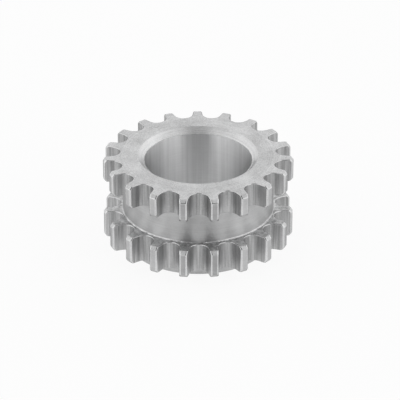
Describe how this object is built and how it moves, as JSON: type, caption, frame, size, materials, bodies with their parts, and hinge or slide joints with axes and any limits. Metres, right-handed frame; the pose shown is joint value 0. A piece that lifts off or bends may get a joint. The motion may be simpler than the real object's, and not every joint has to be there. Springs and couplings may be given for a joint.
{
  "type": "crankshaft gear",
  "caption": "Crankshaft timing gear with two toothed rings for bush chains on one turned steel hub, and a plain chamfered bore that slides over the shaft.",
  "frame": {"origin": "on the bore's axis, in the plane of the hub's lower face", "axes": "+Z along the bore, from the wider toothed ring toward the narrower one; +Y through one tooth of each ring"},
  "size_m": [0.0524, 0.0523, 0.0263],
  "materials": {
    "steel": "satin machined steel with softly broken edges"
  },
  "bodies": {
    "root": {"crankshaft_gear": "steel"}
  },
  "joints": []
}
